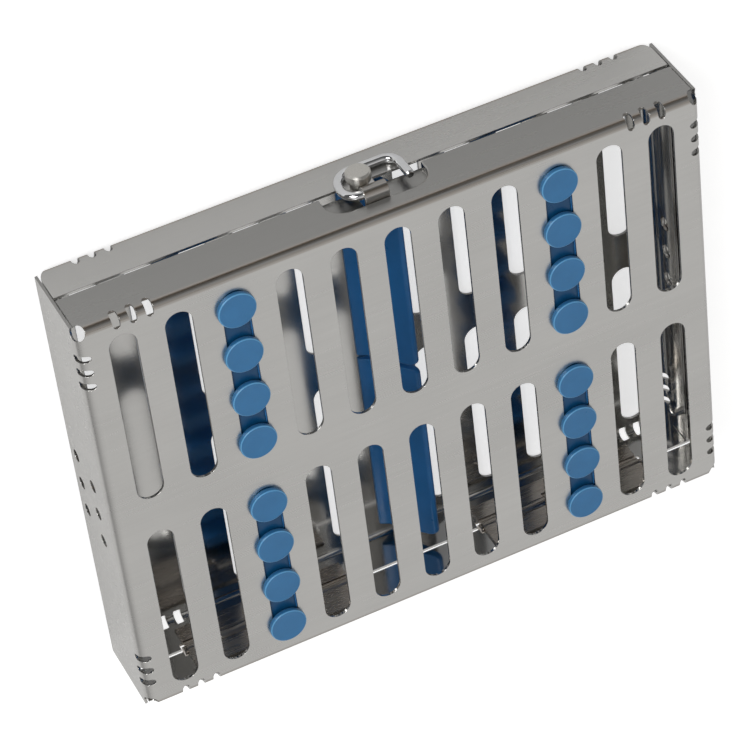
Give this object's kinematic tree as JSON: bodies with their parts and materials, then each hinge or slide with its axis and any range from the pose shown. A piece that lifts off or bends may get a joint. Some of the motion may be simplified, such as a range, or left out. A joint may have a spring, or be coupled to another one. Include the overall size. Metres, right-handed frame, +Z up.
{
  "type": "instrument sterilisation cassette",
  "caption": "Flat hinged steel cassette with slotted panels, blue silicone instrument rails and a wire bail latch, for holding dental hand instruments during washing and sterilising.",
  "frame": {"origin": "centre of the bottom of the bounding box, on the surface the cassette lies on", "axes": "+Z up, X along the long side, hinges at the back on +Y, latch at the front on -Y"},
  "size_m": [0.183, 0.1484, 0.0325],
  "materials": {
    "satin_steel": "satin",
    "post_steel": "turned, matt",
    "bright_wire": "polished",
    "hinge_steel": "satin",
    "silicone": "matt"
  },
  "bodies": {
    "tray": {"lower_shell": "satin_steel", "centre_pad_rear": "silicone", "centre_pad_front": "silicone", "latch_post": "post_steel", "hinge_left_lower_leaf": "hinge_steel", "hinge_left_pin": "hinge_steel", "hinge_right_lower_leaf": "hinge_steel", "hinge_right_pin": "hinge_steel"},
    "cover": {"upper_shell": "satin_steel", "rack_rear_right": "silicone", "rack_rear_left": "silicone", "rack_front_right": "silicone", "rack_front_left": "silicone", "hinge_left_upper_leaf": "hinge_steel", "hinge_right_upper_leaf": "hinge_steel"},
    "bail": {"latch_bail": "bright_wire"}
  },
  "joints": [
    {"name": "cover_hinge", "type": "hinge", "parent": "tray", "child": "cover", "pos_m": [0, 0.07203, 0.0154], "axis": [-1, 0, 0], "range_deg": [0, 140]},
    {"name": "bail_pivot", "type": "hinge", "parent": "cover", "child": "bail", "pos_m": [0, -0.07013, 0.022], "axis": [-1, 0, 0], "range_deg": [0, 150]}
  ]
}
